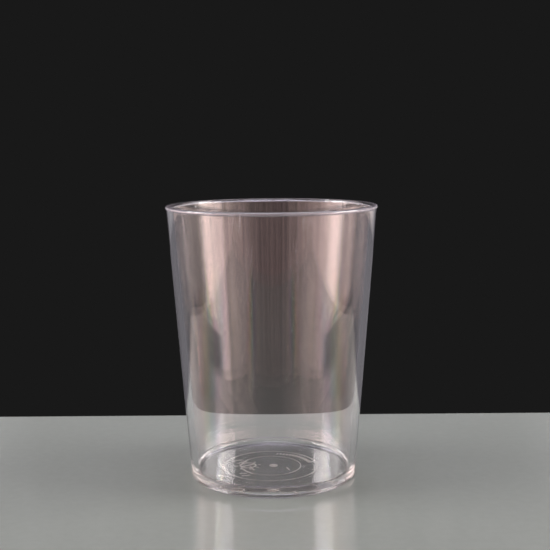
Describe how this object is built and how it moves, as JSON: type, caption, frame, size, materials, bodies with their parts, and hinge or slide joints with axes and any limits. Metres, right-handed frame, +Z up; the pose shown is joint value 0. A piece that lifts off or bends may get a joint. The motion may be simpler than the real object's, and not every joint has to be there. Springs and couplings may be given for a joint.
{
  "type": "clear plastic tumbler cup",
  "caption": "Tapered clear plastic drinking tumbler with a beaded rim, a thick floor and a stepped foot ring.",
  "frame": {"origin": "centre of the circle that the foot ring stands on", "axes": "+Z up along the cup's axis, from the foot to the rim. The larger group of moulded marks lies towards -X."},
  "size_m": [0.09, 0.09, 0.117],
  "materials": {
    "clear_plastic": "clear, polished mould finish"
  },
  "bodies": {
    "root": {"tumbler": "clear_plastic"}
  },
  "joints": []
}
